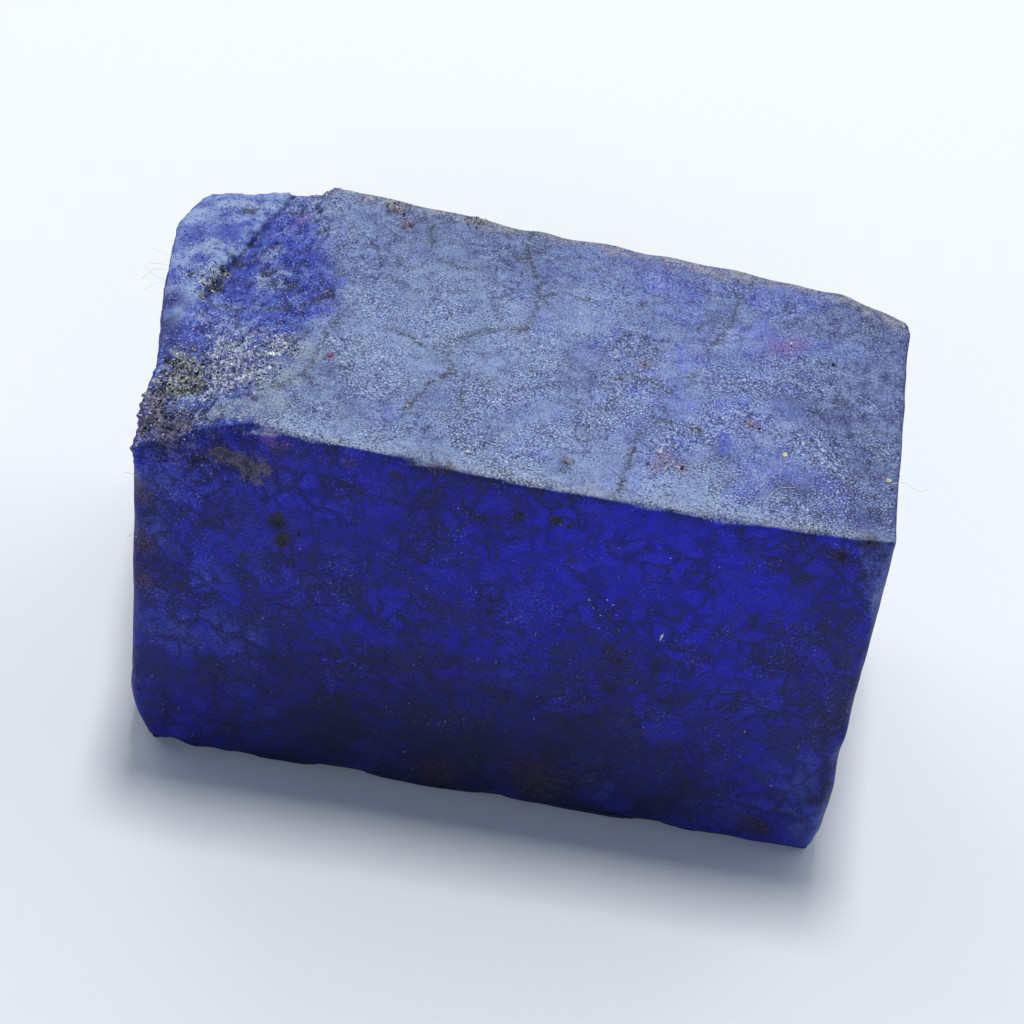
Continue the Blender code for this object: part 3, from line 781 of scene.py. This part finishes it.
grit_mesh = bpy.data.meshes.new("grit")
grit_mesh.from_pydata([corner * MM for corner in corners], [], faces)
attribute = grit_mesh.attributes.new("tint", "FLOAT_COLOR", "POINT")
attribute.data.foreach_set("color", np.array(tints, dtype=np.float32).ravel())
grit = bpy.data.objects.new("grit", grit_mesh)
bpy.context.scene.collection.objects.link(grit)

chips = Finish("grit")
clean = chips.rise(chips.noise(0.09), 0.25, 0.55)
chip_tone = chips.mix((0.0, 0.0, 0.0), chips.stored("tint", "Color"), clean)
chips.feed(chips.shader.inputs["Base Color"], chip_tone)
chips.shader.inputs["Roughness"].default_value = 0.45
chips.shader.inputs["Specular IOR Level"].default_value = 0.25
chips.assign(grit)
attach(grit, "root")

# --- The lint ------------------------------------------------------------------------------------------
# Fine pale fibres shed by a cloth. Some are caught on the rough edges and stand out from them, and the others
# lie loose on the top. Each is one thin round thread.

LINT_RADIUS = 0.010  # mm
LINT_SIDES = 5
LINT_STEPS = 6  # lengths that each run of a thread is bent in
LINT_LIFT = 1.2  # of its radius, that a lying thread's middle is above the stone
LINT_DULL, LINT_PALE = (0.62, 0.62, 0.58), (0.80, 0.82, 0.82)
# Threads as runs of X, Y and Z in mm; those of the second list lie on the top and give X and Y alone.
CAUGHT_THREADS = (
    ((19.3, -6.5, 22.75), (20.0, -6.6, 23.05), (20.7, -6.9, 22.9), (21.2, -6.8, 23.1)),
    ((-19.6, 4.4, 21.3), (-20.1, 4.6, 21.3), (-20.6, 4.9, 21.2), (-21.0, 5.3, 21.0)),
    ((-19.6, 3.3, 21.2), (-20.2, 3.4, 21.1), (-20.7, 3.3, 20.9), (-21.0, 3.0, 20.6)),
    ((-19.5, 2.6, 21.1), (-20.0, 2.5, 21.2), (-20.5, 2.6, 21.4), (-20.9, 2.8, 21.7)),
    ((-19.6, 3.8, 21.2), (-20.3, 3.6, 21.3), (-20.8, 3.3, 21.5)),
    ((-19.5, 2.2, 21.2), (-20.2, 2.0, 21.1), (-20.6, 1.6, 20.9)),
    ((-17.9, -11.0, 18.9), (-18.3, -11.2, 19.2), (-18.6, -11.0, 19.0)),
    ((-17.8, -11.1, 14.9), (-18.2, -11.3, 15.1), (-18.4, -11.1, 14.7)),
)
LYING_THREADS = (
    ((3.3, -4.2), (3.7, -3.5), (4.2, -3.1), (4.5, -3.2)),
    ((18.0, -3.9), (18.5, -3.6), (19.0, -3.7)),
    ((2.3, -5.1), (2.9, -4.5), (3.4, -4.6)),
    ((-8.1, -9.2), (-7.2, -8.9), (-6.6, -9.3)),
    ((13.2, -9.1), (13.7, -8.3), (14.5, -8.0)),
    ((-1.2, -6.0), (-0.7, -5.2), (-0.8, -4.6)),
    ((-16.0, -5.6), (-15.4, -5.0), (-15.3, -4.3)),
    ((-16.8, -6.2), (-16.2, -5.9), (-15.9, -5.2)),
    ((-14.4, -6.6), (-13.7, -6.3), (-13.2, -6.6)),
    ((9.9, -7.4), (10.6, -7.1), (11.0, -6.5)),
    ((-14.9, 7.2), (-14.3, 7.6), (-14.1, 8.2)),
    ((15.6, -1.9), (16.0, -1.2), (16.7, -1.0)),
)


def rounded(points):
    """The same run of points, with more of them in between on a smooth curve."""
    padded = [2 * points[0] - points[1], *points, 2 * points[-1] - points[-2]]
    path = []
    for before, start, end, after in zip(padded, padded[1:], padded[2:], padded[3:]):
        for step in range(LINT_STEPS):
            share = step / LINT_STEPS
            bend = (2 * before - 5 * start + 4 * end - after) * share
            bend += (3 * start - before - 3 * end + after) * share ** 2
            path.append(start + 0.5 * share * ((end - before) + bend))
    return path + [points[-1]]


def add_thread(path, rings, quads):
    first = len(rings)
    for place, ahead in zip(path, path[1:] + [2 * path[-1] - path[-2]]):
        turn = (ahead - place).to_track_quat("Z", "Y").to_matrix()
        for side in range(LINT_SIDES):
            angle = math.tau * side / LINT_SIDES
            rings.append(place + turn @ Vector((math.cos(angle), math.sin(angle), 0.0)) * LINT_RADIUS)
    for ring in range(len(path) - 1):
        for side in range(LINT_SIDES):
            low, high = first + ring * LINT_SIDES, first + (ring + 1) * LINT_SIDES
            after = (side + 1) % LINT_SIDES
            quads.append([low + side, low + after, high + after, high + side])
    quads.append([first + side for side in reversed(range(LINT_SIDES))])
    quads.append([len(rings) - LINT_SIDES + side for side in range(LINT_SIDES)])


rings, quads = [], []
for thread in CAUGHT_THREADS:
    add_thread(rounded([Vector(place) for place in thread]), rings, quads)
for thread in LYING_THREADS:
    path = []
    for place in rounded([Vector((x, y, ABOVE)) for x, y in thread]):
        path.append(lands(place, DOWN)[0] - DOWN * (LINT_LIFT * LINT_RADIUS))
    add_thread(path, rings, quads)
lint_mesh = bpy.data.meshes.new("lint")
lint_mesh.from_pydata([place * MM for place in rings], [], quads)
lint_mesh.shade_smooth()
lint = bpy.data.objects.new("lint", lint_mesh)
bpy.context.scene.collection.objects.link(lint)

fibre = Finish("lint")
fibre.feed(fibre.shader.inputs["Base Color"], fibre.mix(LINT_DULL, LINT_PALE, fibre.noise(0.3)))
fibre.shader.inputs["Roughness"].default_value = 0.6
fibre.assign(lint)
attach(lint, "root")

# --- The floor -----------------------------------------------------------------------------------------
# A sheet of smooth, slightly bluish white card, lying flat. The stone stands on it, and it isn't part of the
# stone.

FLOOR_SIZE = 2.4  # metres
FLOOR_GAP = 0.02  # mm between the card and the stone's base
CARD_GREY, CARD_WHITE = (0.705, 0.730, 0.745), (0.725, 0.750, 0.762)

bpy.ops.mesh.primitive_plane_add(size=FLOOR_SIZE, location=(0.0, 0.0, -FLOOR_GAP * MM))
floor = bpy.context.object
floor.name = "floor"
card = Finish("white_card")
card.feed(card.shader.inputs["Base Color"], card.mix(CARD_GREY, CARD_WHITE, card.noise(40.0)))
card.shader.inputs["Roughness"].default_value = 0.9
card.shader.inputs["Specular IOR Level"].default_value = 0.1
card.assign(floor)

# --- The lights ----------------------------------------------------------------------------------------
# A soft box above and a little behind, two beside it, a wide one at the back, and a dim bluish fill from the
# front. The stone's shadow falls to the front.

ROOM_BLUE = (0.45, 0.58, 1.0)
ROOM_STRENGTH = 0.15

def soft_box(name, place, target, size, watts, colour):
    light = bpy.data.lights.new(name, "AREA")
    light.shape = "RECTANGLE"
    light.size, light.size_y = size
    light.energy = watts
    light.color = colour
    box = bpy.data.objects.new(name, light)
    box.location = place
    box.rotation_euler = (Vector(target) - Vector(place)).to_track_quat("-Z", "Y").to_euler()
    bpy.context.scene.collection.objects.link(box)


soft_box("key_light", (-0.010, 0.090, 0.50), (-0.010, 0.090, 0.0), (0.07, 0.11), 1.76, (1.0, 0.99, 0.96))
soft_box("left_light", (-0.31, 0.20, 0.36), (0.0, 0.0, 0.01), (0.44, 0.36), 0.66, (0.96, 0.98, 1.0))
soft_box("right_light", (0.31, 0.20, 0.36), (0.0, 0.0, 0.01), (0.44, 0.36), 0.64, (0.96, 0.98, 1.0))
soft_box("back_light", (0.0, 0.60, 0.47), (0.0, 0.0, 0.01), (0.90, 0.20), 1.60, (1.0, 0.98, 0.93))
soft_box("front_light", (0.0, -0.60, 0.30), (0.0, 0.0, 0.01), (0.60, 0.30), 1.2, (0.76, 0.86, 1.0))

room = bpy.data.worlds.new("room")
room.use_nodes = True
room.node_tree.nodes["Background"].inputs["Color"].default_value = (*ROOM_BLUE, 1.0)
room.node_tree.nodes["Background"].inputs["Strength"].default_value = ROOM_STRENGTH
bpy.context.scene.world = room
bpy.context.scene.view_settings.view_transform = "Standard"

# --- The camera ----------------------------------------------------------------------------------------
# It looks down on the stone's front and top, close by, tipped sideways so that the block runs down to the
# right.

LENS = 85.0  # mm
SENSOR = 36.0
NEAREST = 0.01  # metres: what is closer to the camera doesn't show
LOOK_DOWN = math.radians(41.0)
LOOK_LEFT = math.radians(0.805)
TIP = math.radians(9.0)
DISTANCE = 151.04 * MM
AIM = Vector((0.50, 12.77, 0.0)) * MM

view = bpy.data.cameras.new("camera")
view.lens = LENS
view.sensor_width = SENSOR
view.clip_start = NEAREST
camera = bpy.data.objects.new("camera", view)
turned = Matrix.Rotation(LOOK_LEFT, 4, "Z") @ Matrix.Rotation(math.pi / 2 - LOOK_DOWN, 4, "X")
turned = turned @ Matrix.Rotation(TIP, 4, "Z")
camera.matrix_world = Matrix.Translation(AIM) @ turned @ Matrix.Translation((0.0, 0.0, DISTANCE))
bpy.context.scene.collection.objects.link(camera)
bpy.context.scene.camera = camera
